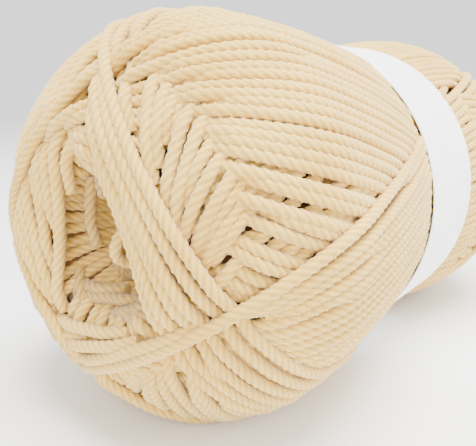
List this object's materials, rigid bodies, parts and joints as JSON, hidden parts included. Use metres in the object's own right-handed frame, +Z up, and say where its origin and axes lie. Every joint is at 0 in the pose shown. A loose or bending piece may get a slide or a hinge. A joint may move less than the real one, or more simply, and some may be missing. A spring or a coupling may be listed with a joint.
{
  "type": "ball of yarn",
  "caption": "Machine-wound ball of cream yarn lying on its side, with a hollow at each end and a plain paper band round its waist.",
  "frame": {"origin": "under the middle of the ball, on the surface it rests on", "axes": "X along the ball's long axis, with the band nearer the +X end, and Z up"},
  "size_m": [0.1276, 0.072, 0.0699],
  "materials": {
    "yarn": "matt, softly hairy plied yarn",
    "paper": "smooth uncoated white paper"
  },
  "bodies": {
    "root": {"yarn_ball": "yarn", "paper_band": "paper"}
  },
  "joints": []
}
